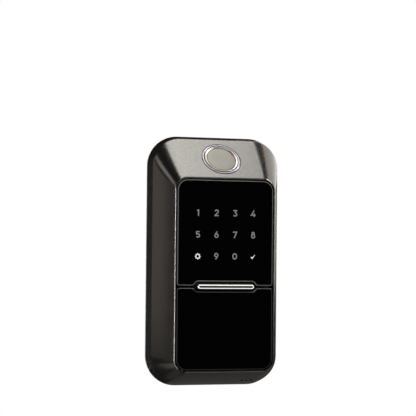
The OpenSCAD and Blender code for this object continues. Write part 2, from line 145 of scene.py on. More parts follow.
def loft(rings, closed=False):
    """Joins rings of equally many points into a skin, with end caps or closed on itself."""
    count = len(rings[0])
    points = [p for ring in rings for p in ring]
    faces = []
    last = len(rings) if closed else len(rings) - 1
    for row in range(last):
        a, b = row * count, (row + 1) % len(rings) * count
        for i in range(count):
            j = (i + 1) % count
            faces.append((a + i, a + j, b + j, b + i))
    if not closed:
        faces.append(tuple(range(count))[::-1])
        faces.append(tuple((len(rings) - 1) * count + i for i in range(count)))
    return points, faces


def lathe(profile, place, segments=128, closed=False):
    """Turns a profile of (radius, height) about the local Z of a placement matrix."""
    rings = []
    for radius, height in profile:
        ring = []
        for i in range(segments):
            turn = 2 * math.pi * i / segments
            ring.append(place @ Vector((radius * math.cos(turn) * MM, radius * math.sin(turn) * MM,
                                        height * MM)))
        rings.append(ring)
    return loft(rings, closed=closed)


def arc(cx, cz, radius, start, end, steps):
    """Points on an arc, angles in degrees."""
    turns = [math.radians(start + (end - start) * i / steps) for i in range(steps + 1)]
    return [(cx + radius * math.cos(t), cz + radius * math.sin(t)) for t in turns]


def round_rect(half, z0, z1, radius, steps=14):
    """Outline of a rectangle with round corners, anticlockwise as seen from the front."""
    outline = []
    corners = [(half, z0, -90), (half, z1, 0), (-half, z1, 90), (-half, z0, 180)]
    for x, z, start in corners:
        cx = x - math.copysign(radius, x)
        cz = z + radius if z == z0 else z - radius
        outline += arc(cx, cz, radius, start, start + 90, steps)
    return outline


def round_corners(corners, steps=8):
    """Rounds each (x, z, radius) corner of a polygon with an arc that touches both sides."""
    outline = []
    for i, (x, z, radius) in enumerate(corners):
        here = Vector((x, z))
        before = (Vector(corners[i - 1][:2]) - here).normalized()
        after = (Vector(corners[(i + 1) % len(corners)][:2]) - here).normalized()
        half = before.angle(after) / 2
        if radius <= 0 or abs(half - math.pi / 2) < 1e-3:
            outline.append((x, z))
            continue
        reach = radius / math.tan(half)
        centre = here + (before + after).normalized() * (radius / math.sin(half))
        first = here + before * reach - centre
        sweep = first.angle_signed(here + after * reach - centre)
        for k in range(steps + 1):
            spoke = first.copy()
            spoke.rotate(Matrix.Rotation(-sweep * k / steps, 2))
            outline.append(tuple(centre + spoke))
    return outline


def drawn_outline(outline, inset):
    """An anticlockwise outline moved inwards by the same amount everywhere."""
    moved = []
    for i, here in enumerate(outline):
        before = (Vector(here) - Vector(outline[i - 1])).normalized()
        after = (Vector(outline[(i + 1) % len(outline)]) - Vector(here)).normalized()
        inward = Vector((-before.y - after.y, before.x + after.x)).normalized()
        moved.append(Vector(here) + inward * inset / inward.dot(Vector((-before.y, before.x))))
    return moved


def plate(outline, front_d, back_d):
    """A plate with a chamfer round its front; its outermost strip is polished, the rest ground."""
    start_d = front_d - GLASS_EDGE
    rows = [(0, back_d), (0, start_d - EDGE_SOFT), (EDGE_SOFT * 0.3, start_d + EDGE_SOFT * 0.1)]
    rows += [(GROUND_FROM, start_d + GROUND_FROM), (GLASS_EDGE - EDGE_SOFT, front_d - EDGE_SOFT)]
    rows += [(GLASS_EDGE - EDGE_SOFT * 0.2, front_d - EDGE_SOFT * 0.3), (GLASS_EDGE + EDGE_SOFT, front_d)]
    rings = []
    for inset, depth in rows:
        rings.append([point(x, depth, z) for x, z in drawn_outline(outline, inset)])
    return loft(rings)


def cut(piece, cutter_data, name):
    """Takes a closed cutter out of a piece for good."""
    mesh = bpy.data.meshes.new(name)
    mesh.from_pydata(cutter_data[0], [], cutter_data[1])
    bm = bmesh.new()
    bm.from_mesh(mesh)
    bmesh.ops.recalc_face_normals(bm, faces=bm.faces)
    bm.to_mesh(mesh)
    bm.free()
    cutter = bpy.data.objects.new(name, mesh)
    bpy.context.scene.collection.objects.link(cutter)
    modifier = piece.modifiers.new("cut", "BOOLEAN")
    modifier.operation = "DIFFERENCE"
    modifier.solver = "EXACT"
    modifier.object = cutter
    bpy.context.view_layer.update()
    result = bpy.data.meshes.new_from_object(
        piece.evaluated_get(bpy.context.evaluated_depsgraph_get()))
    piece.modifiers.remove(modifier)
    old = piece.data
    piece.data = result
    bpy.data.meshes.remove(old)
    bpy.data.objects.remove(cutter)
    bpy.data.meshes.remove(mesh)


# ---------- Materials ----------

class Shader:
    """A Principled material with short calls for the nodes that most surfaces share."""

    def __init__(self, name, color, metallic=0.0, roughness=0.5, **sockets):
        self.material = bpy.data.materials.new(name)
        self.material.use_nodes = True
        self.tree = self.material.node_tree
        self.bsdf = self.tree.nodes["Principled BSDF"]
        self.coords = self.tree.nodes.new("ShaderNodeTexCoord").outputs["Object"]
        self.bsdf.inputs["Base Color"].default_value = (*color, 1)
        self.bsdf.inputs["Metallic"].default_value = metallic
        self.bsdf.inputs["Roughness"].default_value = roughness
        for socket, value in sockets.items():
            self.bsdf.inputs[socket.replace("_", " ")].default_value = value

    def node(self, kind, **settings):
        made = self.tree.nodes.new(kind)
        for key, value in settings.items():
            if key in made.inputs:
                made.inputs[key].default_value = value
            else:
                setattr(made, key, value)
        return made

    def link(self, source, target):
        self.tree.links.new(source, target)

    def scaled(self, stretch):
        """Object coordinates stretched per axis, for brushed or drawn metal."""
        mapping = self.node("ShaderNodeMapping", Scale=stretch)
        self.link(self.coords, mapping.inputs["Vector"])
        return mapping.outputs["Vector"]

    def noise(self, size_mm, detail=3.0, coords=None):
        """Noise with features about size_mm across."""
        made = self.node("ShaderNodeTexNoise", Scale=1 / (size_mm * MM), Detail=detail)
        self.link(coords or self.coords, made.inputs["Vector"])
        return made.outputs["Fac"]

    def spread(self, value, low, high):
        """Maps a noise value, which mostly lies between 0.3 and 0.7, to a range."""
        made = self.node("ShaderNodeMapRange")
        for socket, limit in (("From Min", 0.3), ("From Max", 0.7), ("To Min", low), ("To Max", high)):
            made.inputs[socket].default_value = limit
        self.link(value, made.inputs["Value"])
        return made.outputs["Result"]

    def tint(self, factor, low, high):
        """Base colour that goes from low to high with a factor from 0 to 1."""
        ramp = self.node("ShaderNodeValToRGB")
        ramp.color_ramp.elements[0].color = (*low, 1)
        ramp.color_ramp.elements[1].color = (*high, 1)
        self.link(factor, ramp.inputs["Fac"])
        self.link(ramp.outputs["Color"], self.bsdf.inputs["Base Color"])

    def vary_roughness(self, factor, low, high):
        self.link(self.spread(factor, low, high), self.bsdf.inputs["Roughness"])

    def bump(self, height, depth_mm, strength):
        made = self.node("ShaderNodeBump", Strength=strength, Distance=depth_mm * MM)
        self.link(height, made.inputs["Height"])
        self.link(made.outputs["Normal"], self.bsdf.inputs["Normal"])

    def glow(self, color, strength):
        self.bsdf.inputs["Emission Color"].default_value = (*color, 1)
        self.bsdf.inputs["Emission Strength"].default_value = strength


def bronze_paint():
    """Dark bronze metallic paint: fine aluminium flakes under a satin coat."""
    s = Shader("bronze_paint", (0.093, 0.088, 0.082), metallic=0.95, roughness=0.21,
               Coat_Weight=0.1, Coat_Roughness=0.15)
    flakes = s.node("ShaderNodeTexVoronoi", Scale=1 / (0.22 * MM))
    s.link(s.coords, flakes.inputs["Vector"])
    cell = s.node("ShaderNodeSeparateColor")
    s.link(flakes.outputs["Color"], cell.inputs["Color"])
    s.tint(cell.outputs["Red"], (0.078, 0.074, 0.068), (0.126, 0.120, 0.112))
    s.vary_roughness(s.noise(7.0), 0.20, 0.225)
    s.bump(cell.outputs["Green"], 0.006, strength=0.3)
    return s.material


def black_glass():
    s = Shader("black_glass", (0.0008, 0.0008, 0.0009), roughness=0.03, IOR=1.52)
    s.vary_roughness(s.noise(9.0), 0.02, 0.05)
    return s.material


def ground_glass(name, level, glow):
    """The finely ground edge of a glass panel; its glow and its grey are a painted highlight line along the
    chamfer.
    """
    s = Shader(name, (level, level, level), roughness=0.45)
    grain = s.noise(0.5, detail=4)
    s.tint(s.spread(grain, 0, 1), (level * 0.8,) * 3, (level * 1.15,) * 3)
    s.vary_roughness(grain, 0.38, 0.55)
    # Painted highlight: the chamfer glows as if it caught a lamp.
    s.glow((0.94, 1, 1), glow)
    return s.material


def black_plastic():
    s = Shader("black_plastic", (0.018, 0.018, 0.02), roughness=0.55)
    grain = s.noise(0.35, detail=6)
    s.vary_roughness(grain, 0.45, 0.68)
    s.bump(grain, 0.03, strength=0.5)
    return s.material


def legend_film():
    s = Shader("legend_film", (0.02, 0.02, 0.022), roughness=0.6)
    s.vary_roughness(s.noise(1.2), 0.5, 0.7)
    return s.material


def legend_ink(name, level):
    """Key symbols lit from behind through the glass."""
    s = Shader(name, (level, level, level * 0.97), roughness=0.5)
    s.glow((1, 0.98, 0.95), level)
    s.tint(s.spread(s.noise(0.5), 0, 1), (level * 0.8,) * 3, (level,) * 3)
    return s.material


def clear_plastic():
    s = Shader("clear_plastic", (0.80, 0.84, 0.86), roughness=0.35, Transmission_Weight=0.6)
    s.vary_roughness(s.noise(0.8), 0.3, 0.5)
    return s.material


def circuit_board():
    s = Shader("circuit_board", (0.015, 0.11, 0.055), roughness=0.35)
    weave = s.noise(1.1, detail=8)
    s.tint(s.spread(weave, 0, 1), (0.010, 0.080, 0.040), (0.022, 0.140, 0.070))
    s.bump(weave, 0.03, strength=0.4)
    return s.material


def moulded(name, color, size_mm=0.4, roughness=0.45):
    """Plain moulded plastic with a fine spark-eroded grain."""
    s = Shader(name, color, roughness=roughness)
    grain = s.noise(size_mm, detail=5)
    s.tint(s.spread(grain, 0, 1), tuple(c * 0.85 for c in color), tuple(min(1, c * 1.1) for c in color))
    s.vary_roughness(grain, roughness - 0.08, roughness + 0.1)
    s.bump(grain, 0.02, strength=0.4)
    return s.material


def light_ring():
    s = Shader("light_ring", (0.20, 0.20, 0.30), metallic=0.5, roughness=0.2, Coat_Weight=0.8,
               Coat_Roughness=0.06)
    s.tint(s.spread(s.noise(0.9), 0, 1), (0.18, 0.18, 0.25), (0.23, 0.23, 0.31))
    return s.material


def satin_metal(name, color, roughness, depth_mm=0.002):
    """Plain metal with a fine satin grain and slight staining."""
    s = Shader(name, color, metallic=1.0, roughness=roughness)
    stain = s.noise(6.0)
    s.tint(s.spread(stain, 0, 1), tuple(c * 0.92 for c in color), color)
    s.vary_roughness(stain, roughness * 0.92, roughness * 1.12)
    s.bump(s.noise(0.25, detail=2), depth_mm, strength=0.3)
    return s.material


def brass():
    """Smooth brass, a little duller in places."""
    s = Shader("brass", (0.72, 0.56, 0.28), metallic=1.0, roughness=0.27)
    stain = s.noise(5.0, detail=1)
    s.tint(s.spread(stain, 0, 1), (0.66, 0.50, 0.24), (0.74, 0.58, 0.30))
    s.vary_roughness(stain, 0.24, 0.31)
    return s.material


def chrome_painted_glow():
    """Satin chrome of the lock bar's rim; its glow is a painted highlight that keeps the rim bright all
    round.
    """
    s = Shader("chrome_painted_glow", (0.62, 0.62, 0.62), metallic=0.8, roughness=0.28)
    grain = s.noise(0.25, detail=3)
    s.tint(s.spread(grain, 0, 1), (0.56, 0.555, 0.55), (0.66, 0.66, 0.66))
    s.vary_roughness(grain, 0.24, 0.32)
    # Painted highlight: the chrome glows.
    s.glow((1.0, 0.97, 0.93), 0.85)
    return s.material


def brushed_metal(name, color, roughness, along):
    """Metal brushed or rolled along one axis: 0 for X, 1 for Y, 2 for Z."""
    s = Shader(name, color, metallic=1.0, roughness=roughness)
    stretch = [1.0, 1.0, 1.0]
    stretch[along] = 0.03
    lines = s.noise(0.12, detail=4, coords=s.scaled(stretch))
    s.vary_roughness(lines, roughness * 0.8, roughness * 1.3)
    s.tint(s.spread(lines, 0, 1), tuple(c * 0.85 for c in color), color)
    s.bump(lines, 0.006, strength=0.4)
    return s.material


def reader_pad():
    s = Shader("reader_pad", (0.12, 0.112, 0.10), metallic=0.55, roughness=0.34, Coat_Weight=0.2,
               Coat_Roughness=0.18)
    s.tint(s.spread(s.noise(0.3, detail=6), 0, 1), (0.122, 0.114, 0.100), (0.14, 0.130, 0.115))
    return s.material


def black_rubber():
    s = Shader("black_rubber", (0.018, 0.018, 0.018), roughness=0.8)
    grain = s.noise(0.5, detail=6)
    s.tint(s.spread(grain, 0, 1), (0.022, 0.022, 0.022), (0.05, 0.049, 0.047))
    s.vary_roughness(grain, 0.7, 0.9)
    s.bump(grain, 0.05, strength=0.5)
    return s.material


MATERIALS = {
    "bronze_paint": bronze_paint(),
    "black_plastic": black_plastic(),
    "black_glass": black_glass(),
    "legend_film": legend_film(),
    "clear_plastic": clear_plastic(),
    "circuit_board": circuit_board(),
    "led_white": moulded("led_white", (0.90, 0.88, 0.72)),
    "chip_black": moulded("chip_black", (0.028, 0.028, 0.031), 0.25, 0.5),
    "ivory_plastic": moulded("ivory_plastic", (0.78, 0.75, 0.66)),
    "light_ring": light_ring(),
    "champagne_metal": satin_metal("champagne_metal", (0.43, 0.37, 0.285), 0.3),
    "reader_pad": reader_pad(),
    "chrome": satin_metal("chrome", (0.84, 0.85, 0.86), 0.12, depth_mm=0.001),
    "smoked_window": moulded("smoked_window", (0.02, 0.02, 0.022), 0.5, 0.35),
    "steel": satin_metal("steel", (0.56, 0.56, 0.58), 0.3),
    "zinc_steel": brushed_metal("zinc_steel", (0.62, 0.62, 0.64), 0.34, 1),
    "magnet": satin_metal("magnet", (0.66, 0.66, 0.67), 0.2),
    "brass": brass(),
    "red_plastic": moulded("red_plastic", (0.60, 0.10, 0.06)),
    "black_rubber": black_rubber(),
}


# ---------- Housing ----------

def mix(a, b, t):
    return tuple(x + (y - x) * t for x, y in zip(a, b))


def eased(before, crease, after, reach, reach_after=None, steps=5):
    """Rows that round off the crease between two bands; a row is (depth, half, z0, z1, radius)."""
    def towards(other, length):
        span = math.hypot(other[0] - crease[0], other[1] - crease[1])
        return mix(crease, other, min(0.95, length / span))
    start, end = towards(before, reach), towards(after, reach_after or reach)
    rows = []
    for i in range(steps + 1):
        t = i / steps
        rows.append(mix(mix(start, crease, t), mix(crease, end, t), t))
    return rows


def drawn_in(row, inset):
    """A row moved inwards; its corner radius shrinks more slowly."""
    depth, half, z0, z1, radius = row
    return depth, half - inset, z0 + inset, z1 - inset, radius - inset * 0.6


def crowned(row, bulge):
    """A row let out at the sides and at the bottom, as the slopes there are slightly crowned."""
    depth, half, z0, z1, radius = row
    return depth, half + bulge, z0 - bulge, z1, radius


def housing_rows():
    """The shell's section from the door up the outside, over the rim and back down the inside."""
    back = (BACK_D, BODY_HALF, BODY_Z0, BODY_Z1, CORNER_R)
    crease = (SIDE_D, BODY_HALF - LEAN, BODY_Z0 + LEAN, BODY_Z1 - LEAN, CORNER_R - LEAN)
    rim = (FRONT_D, OPEN_HALF + RIM_FACE, OPEN_Z0 - RIM_FACE, OPEN_Z1 + RIM_FACE, OPEN_R + RIM_FACE)
    mouth = (FRONT_D, OPEN_HALF, OPEN_Z0, OPEN_Z1, OPEN_R)
    throat = (FRONT_D - THROAT, OPEN_HALF, OPEN_Z0, OPEN_Z1, OPEN_R)
    in_back = drawn_in(back, WALL)
    in_crease = drawn_in(crease, WALL)
    in_throat = mix(in_crease, drawn_in(rim, WALL), (FRONT_D - THROAT - SIDE_D) / SLOPE_IN)
    rows = eased(in_back, back, crease, 0.3)
    rows += eased(back, crease, rim, 0.8)
    rows += [crowned(mix(crease, rim, i / 8), SIDE_CROWN * (1 - (i / 4 - 1) ** 2)) for i in range(1, 8)]
    rows += eased(crease, rim, mouth, 0.9, 0.42, steps=8)
    rows += eased(rim, mouth, throat, 0.09)
    rows += [throat, in_throat, in_crease]
    rows += eased(in_crease, in_back, back, 0.3)
    return rows


def on_slope():
    """Placement on the upper slope: local Z out of the slope, origin at the reader's centre."""
    length = math.hypot(SLOPE_IN, SLOPE_UP)
    depth = FRONT_D - READER_UP * SLOPE_IN / length
    z = RIM_Z1 + READER_UP * SLOPE_UP / length
    return Matrix.Translation(point(0, depth, z)) @ Matrix.Rotation(SLOPE_TILT, 4, "X")


# The sound slots: where they are across, their width and depth, and how far up the lower slope
SLOT_X = (14.0, 16.6, 19.2)
SLOT_W, SLOT_H, SLOT_UP = 1.9, 2.0, 0.28
SLOT_R, SLOT_REACH = 0.35, 3.0


def slot_cutter(x):
    """A bar with rounded corners that cuts one sound slot right through the lower slope."""
    depth = SIDE_D + SLOT_UP * SLOPE_IN
    z = BODY_Z0 + LEAN + SLOT_UP * (OPEN_Z0 - RIM_FACE - BODY_Z0 - LEAN)
    outline = round_corners([(x + dx * SLOT_W / 2, depth + dd * SLOT_H / 2, SLOT_R)
                             for dx, dd in ((1, -1), (1, 1), (-1, 1), (-1, -1))], 4)
    return loft([[point(px, pd, z + dz) for px, pd in outline] for dz in (-SLOT_REACH, SLOT_REACH)])


def make_housing():
    rings = []
    for depth, half, z0, z1, radius in housing_rows():
        rings.append([point(x, depth, z) for x, z in round_rect(half, z0, z1, radius)])
    piece = make_piece("housing_shell", loft(rings, closed=True), "escutcheon",
                       MATERIALS["bronze_paint"], hides=["housing"])
    slope = on_slope()
    hole_r, ledge_r, flare = READER_R + 0.15, BEZEL_R + 0.45, 1.12
    cut(piece, lathe([(0.01, -6), (ledge_r, -6), (ledge_r, LEDGE), (hole_r, LEDGE), (hole_r, -0.12),
                      (hole_r + flare, 1.0), (0.01, 1.0)], slope), "reader_hole")
    for x in SLOT_X:
        cut(piece, slot_cutter(x), "sound_slot")
    # The walls of the sound slots, cut through the painted casting, are given the black plastic: painted
    # shade inside the slots.
    piece.data.materials.append(MATERIALS["black_plastic"])
    for face in piece.data.polygons:
        in_slot = SLOT_X[0] - SLOT_W < face.center.x / MM < SLOT_X[-1] + SLOT_W
        if in_slot and face.center.z / MM < OPEN_Z0 and abs(face.normal.z) < 0.05:
            face.material_index = 1
    piece.data.shade_smooth()
    piece.data.set_sharp_from_angle(angle=math.radians(HOUSING_SMOOTH_DEG))
    weight_normals(piece)


# ---------- Glass panels ----------

# The notch round the lock bar: half its width at the split and at its end, and its two heights
NOTCH_X, NOTCH_TOP_X = 17.25, 15.6
NOTCH_UP, NOTCH_DOWN = 2.6, 2.35
PANEL_R, SPLIT_R, NOTCH_IN_R, NOTCH_OUT_R = 5.65, 1.5, 1.2, 2.3


def make_panel(name, outline, front_d, back_d, body, edge, hides):
    """A glass panel; its ground chamfer is lighter than the polished faces and carries a painted highlight
    line.
    """
    panel = make_piece(name, plate(outline, front_d, back_d), body, MATERIALS["black_glass"],
                       hides=[hides])
    panel.data.materials.append(edge)
    for face in panel.data.polygons:
        depth = -face.center.y / MM
        on_chamfer = 0.2 < -face.normal.y < 0.97
        if on_chamfer and depth > front_d - GLASS_EDGE + GROUND_FROM:
            face.material_index = 1
    weight_normals(panel)


def make_touch_glass():
    half, z0, z1, r = glass_hi[0], SPLIT_MID + SPLIT_HALF, glass_hi[2], PANEL_R
    top = SPLIT_MID + NOTCH_UP
    outline = round_corners([
        (half, z0, SPLIT_R), (half, z1, r), (-half, z1, r), (-half, z0, SPLIT_R),
        (-NOTCH_X, z0, NOTCH_IN_R), (-NOTCH_TOP_X, top, NOTCH_OUT_R),
        (NOTCH_TOP_X, top, NOTCH_OUT_R), (NOTCH_X, z0, NOTCH_IN_R)])
    # The upper panel's chamfer gets the brighter painted highlight line.
    make_panel("touch_glass_panel", outline, GLASS_D, glass_lo[1], "escutcheon",
               ground_glass("glass_edge_painted_bright_line", 0.09, 0.085), "touch_glass")


def make_cover_lens():
    half, z0, z1, r = lens_hi[0], lens_lo[2], SPLIT_MID - SPLIT_HALF, PANEL_R
    low = SPLIT_MID - NOTCH_DOWN
    outline = round_corners([
        (half, z0, r), (half, z1, SPLIT_R), (NOTCH_X, z1, NOTCH_IN_R),
        (NOTCH_TOP_X, low, NOTCH_OUT_R), (-NOTCH_TOP_X, low, NOTCH_OUT_R),
        (-NOTCH_X, z1, NOTCH_IN_R), (-half, z1, SPLIT_R), (-half, z0, r)])
    # The cover's chamfer gets the dimmer painted highlight line.
    make_panel("cover_lens_panel", outline, lens_hi[1], lens_lo[1], "key_cover",
               ground_glass("glass_edge_painted_dim_line", 0.045, 0.014), "cover_lens")


# ---------- Key symbols ----------

KEY_PITCH_X, KEY_PITCH_Z, KEY_TOP_Z = 10.05, 11.2, 59.6
SYMBOL_H = 3.45
STROKE = 0.165
SYMBOL_LIFT, SYMBOL_T = 0.03, 0.02
STROKE_STEP = 0.004   # each further stroke of a symbol stands out by this, so that faces never coincide

# Strokes of each symbol in a box one unit high; the middle is at x = 0
SYMBOLS = {
    "1": [[(-0.17, 0.80), (0.06, 0.92)], [(0.06, 0.98), (0.06, 0.0)]],
    "2": [arc(0, 0.69, 0.25, 170, -40, 12) + [(-0.30, 0.09)], [(-0.33, 0.09), (0.33, 0.09)]],
    "3": [[(-0.26, 0.90), (0.24, 0.90), (-0.02, 0.60)], arc(0, 0.33, 0.25, 100, -150, 14)],
    "4": [[(0.12, 0.98), (-0.30, 0.26), (0.36, 0.26)], [(0.16, 0.0), (0.16, 0.52)]],
    "5": [[(0.26, 0.90), (-0.20, 0.90), (-0.23, 0.50)], arc(0, 0.33, 0.25, 145, -150, 14)],
    "6": [[(0.10, 0.98), (-0.20, 0.48)], arc(0, 0.33, 0.25, 0, 360, 24)],
    "7": [[(-0.30, 0.90), (0.28, 0.90), (-0.12, 0.0)]],
    "8": [arc(0, 0.74, 0.18, 0, 360, 20), arc(0, 0.32, 0.25, 0, 360, 24)],
    "9": [[(-0.10, 0.02), (0.20, 0.52)], arc(0, 0.67, 0.25, 0, 360, 24)],
    "0": [[(0.29 * math.cos(t), 0.5 + 0.40 * math.sin(t))
           for t in (math.radians(15 * i) for i in range(25))]],
    "tick": [[(-0.34, 0.42), (-0.14, 0.24), (0.08, 0.46), (0.30, 0.76)]],
}
TICK_WIDTHS = [0.08, 0.15, 0.10, 0.05]
KEYS = [["1", "2", "3", "4"], ["5", "6", "7", "8"], ["gear", "9", "0", "tick"]]


def ribbon(path, width, front_d, back_d, place):
    """A flat stroke along a path, as a thin closed plate; place maps symbol units to (x, z).

    The width is one number, or one for each point of a tapering stroke.
    """
    closed = (Vector(path[0]) - Vector(path[-1])).length < 1e-6
    if closed:
        path = path[:-1]
    left, right = [], []
    for i, here in enumerate(path):
        before = path[i - 1] if i or closed else None
        after = path[(i + 1) % len(path)] if i + 1 < len(path) or closed else None
        sides = []
        for a, b in ((before, here), (here, after)):
            if a is not None and b is not None:
                step = (Vector(b) - Vector(a)).normalized()
                sides.append(Vector((-step.y, step.x)))
        normal = sum(sides, Vector((0, 0))).normalized()
        reach = (width[i] if isinstance(width, list) else width) / 2 / max(0.5, normal.dot(sides[0]))
        left.append(Vector(here) + normal * reach)
        right.append(Vector(here) - normal * reach)
    count = len(path)
    points, faces = [], []
    for depth in (front_d, back_d):
        for x, z in map(place, left + right):
            points.append(point(x, depth, z))
    fl, fr, bl, br = 0, count, 2 * count, 3 * count
    for i in range(count if closed else count - 1):
        j = (i + 1) % count
        faces += [(fl + i, fl + j, fr + j, fr + i), (bl + i, br + i, br + j, bl + j),
                  (fl + i, bl + i, bl + j, fl + j), (fr + i, fr + j, br + j, br + i)]
    if not closed:
        last = count - 1
        faces += [(fl, fr, br, bl), (fl + last, bl + last, br + last, fr + last)]
    return points, faces


def gear_symbol(front_d, back_d, place):
    """A ring with eight pointed teeth around a round hole."""
    teeth, steps = 8, 64
    hole_r, root_r, tooth, middle = 0.23, 0.35, 0.16, 0.46
    points = []
    for depth in (front_d, back_d):
        for inner in (False, True):
            for i in range(steps):
                turn = 2 * math.pi * i / steps
                wave = abs((turn * teeth / (2 * math.pi)) % 1 - 0.5) * 2
                radius = hole_r if inner else root_r + tooth * max(0.0, 2 * wave - 1)
                x, z = place((radius * math.cos(turn), middle + radius * math.sin(turn)))
                points.append(point(x, depth, z))
    faces = []
    fo, fi, bo, bi = 0, steps, 2 * steps, 3 * steps
    for i in range(steps):
        j = (i + 1) % steps
        faces += [(fo + i, fo + j, fi + j, fi + i), (bo + i, bi + i, bi + j, bo + j),
                  (fo + i, bo + i, bo + j, fo + j), (fi + i, fi + j, bi + j, bi + i)]
    return points, faces


def make_key_symbols():
    grey, white = legend_ink("symbol_grey", 0.145), legend_ink("symbol_white", 0.68)
    for row, names in enumerate(KEYS):
        for column, name in enumerate(names):
            x0 = (column - 1.5) * KEY_PITCH_X
            z0 = KEY_TOP_Z - row * KEY_PITCH_Z - SYMBOL_H / 2

            def place(v, x0=x0, z0=z0):
                return x0 + v[0] * SYMBOL_H, z0 + v[1] * SYMBOL_H

            points, faces = [], []
            lift = GLASS_D + SYMBOL_LIFT
            if name == "gear":
                points, faces = gear_symbol(lift, lift - SYMBOL_T, place)
            else:
                width = TICK_WIDTHS if name == "tick" else STROKE
                for i, path in enumerate(SYMBOLS[name]):
                    front = lift + STROKE_STEP * i
                    more, skin = ribbon(path, width, front, front - SYMBOL_T, place)
                    faces += [tuple(k + len(points) for k in f) for f in skin]
                    points += more
            ink = white if name in ("gear", "tick") else grey
            make_piece("symbol_" + name, (points, faces), "escutcheon", ink)


# ---------- Lock bar ----------

def stadium(length, height, steps=16):
    """Outline of a pill at the height of the lock bar."""
    reach = (length - height) / 2
    return (arc(reach, SPLIT_MID, height / 2, -90, 90, steps)
            + arc(-reach, SPLIT_MID, height / 2, 90, 270, steps))


BAR_PIN_R, BAR_PIN_X = 0.8, 11.0
PIN_TIP_D, MIDDLE_TIP_D = 18.0, 17.0   # depths at which the pins end; the middle one works the switch
BAND, GROOVE_T = 0.72, 0.75            # width of the bar's rim, and depth of the groove inside it
WINDOW_GAP = 0.06


def make_lock_bar():
    """A flat-topped chrome rim round a smoked window, on three pins; its front face glows with a painted
    highlight.
    """
    length, height = bar_hi[0] - bar_lo[0], bar_hi[2] - bar_lo[2]
    front, base = bar_hi[1], GLASS_D - 0.4
    groove_l, groove_h = length - 2 * BAND - WINDOW_GAP, height - 2 * BAND - WINDOW_GAP
    rows = [(0, base), (0, front - 0.42), (0.04, front - 0.32), (0.17, front - 0.12)]
    rows += [(0.24, front - 0.04), (0.36, front), (0.6, front), (0.68, front - 0.04)]
    rows += [(BAND, front - 0.12), (BAND, front - GROOVE_T)]
    rings = []
    for inset, depth in rows:
        rings.append([point(x, depth, z) for x, z in stadium(length - 2 * inset, height - 2 * inset)])
    cap = make_piece("lock_bar_cap", loft(rings), "press_bar", MATERIALS["chrome"],
                     hides=["lock_bar"])
    cap.data.materials.append(chrome_painted_glow())
    # The rim's front faces take the glowing chrome, a painted highlight.
    for face in cap.data.polygons:
        if face.normal.y < -0.7 and -face.center.y / MM > front - 0.2:
            face.material_index = 1
    weight_normals(cap)
    upright = Matrix.Rotation(math.radians(90), 4, "X")
    for i, x in enumerate((-BAR_PIN_X, 0, BAR_PIN_X)):
        tip = MIDDLE_TIP_D if x == 0 else PIN_TIP_D
        pin = [(0.01, base), (BAR_PIN_R, base), (BAR_PIN_R, tip + 0.2), (BAR_PIN_R - 0.2, tip), (0.01, tip)]
        place = Matrix.Translation(point(x, 0, SPLIT_MID)) @ upright
        make_piece("lock_bar_pin_%d" % (i + 1), lathe(pin, place, 32), "press_bar", MATERIALS["steel"])
    rows = [(0, front - GROOVE_T), (0, front - 0.62), (0.04, front - 0.56), (0.14, front - 0.54)]
    rings = []
    for inset, depth in rows:
        rings.append([point(x, depth, z) for x, z in stadium(groove_l - 2 * inset, groove_h - 2 * inset)])
    make_piece("bar_light_window", loft(rings), "press_bar", MATERIALS["smoked_window"],
               hides=["bar_window"])


# ---------- Fingerprint reader ----------

def make_reader():
    """The light ring, the bezel inside it and the pad, each turned about the reader's axis."""
    slope = on_slope()
    inner, outer = BEZEL_R + 0.25, READER_R - 0.05
    middle, half = (inner + outer) / 2, (outer - inner) / 2
    bead = [(middle + half * math.cos(t), 0.30 * math.sin(t) - 0.12)
            for t in (math.radians(15 * i) for i in range(13))]
    ring = [(inner, LEDGE), (outer, LEDGE)] + bead
    make_piece("reader_light_ring_lens", lathe(ring, slope, closed=True), "escutcheon",
               MATERIALS["light_ring"], hides=["reader_light_ring"])
    bezel = [(PAD_R + 0.15, LEDGE), (BEZEL_R, LEDGE), (BEZEL_R, 0.02), (BEZEL_R - 0.10, 0.20),
             (BEZEL_R - 0.25, 0.29), (BEZEL_R - 0.40, 0.30), (BEZEL_R - 0.52, 0.26), (PAD_R + 0.30, 0.09),
             (PAD_R + 0.15, -0.02)]
    make_piece("reader_bezel_ring", lathe(bezel, slope, closed=True), "escutcheon",
               MATERIALS["champagne_metal"], hides=["reader_bezel"])
    pad = [(0.01, LEDGE), (PAD_R, LEDGE), (PAD_R, -0.16), (PAD_R - 0.12, -0.05), (PAD_R - 0.4, -0.03),
           (4.0, -0.06), (0.01, -0.07)]
    make_piece("reader_finger_pad", lathe(pad, slope), "escutcheon", MATERIALS["reader_pad"],
               hides=["reader_pad"])


# ---------- Frame nodes keep their shape and get their materials ----------

SOFT_EDGES = ["panel_carrier", "cover_frame", "key_guide_ring", "cylinder_body", "key_plug", "tail_cap",
              "tailpiece", "bore_ring", "mounting_posts", "cable_grommet", "plate_screws",
              "cylinder_screws", "base_plate"]


def dress_nodes():
    slots = {s["node"]: s["material_slot"] for s in frame["record"]["subparts"]}
    for name, node in frame["nodes"].items():
        node.data.materials.clear()
        node.data.materials.append(MATERIALS[slots[name]])
        if name in SOFT_EDGES:
            bevel = node.modifiers.new("soft_edge", "BEVEL")
            bevel.width = 0.12 * MM
            bevel.segments = 2
            bevel.limit_method = "ANGLE"
            bevel.angle_limit = math.radians(40)
            bevel.harden_normals = True


# ---------- Camera, light and stage ----------

def aim(obj, target):
    direction = Vector(target) - obj.location
    obj.rotation_mode = "QUATERNION"
    obj.rotation_quaternion = direction.to_track_quat("-Z", "Y")


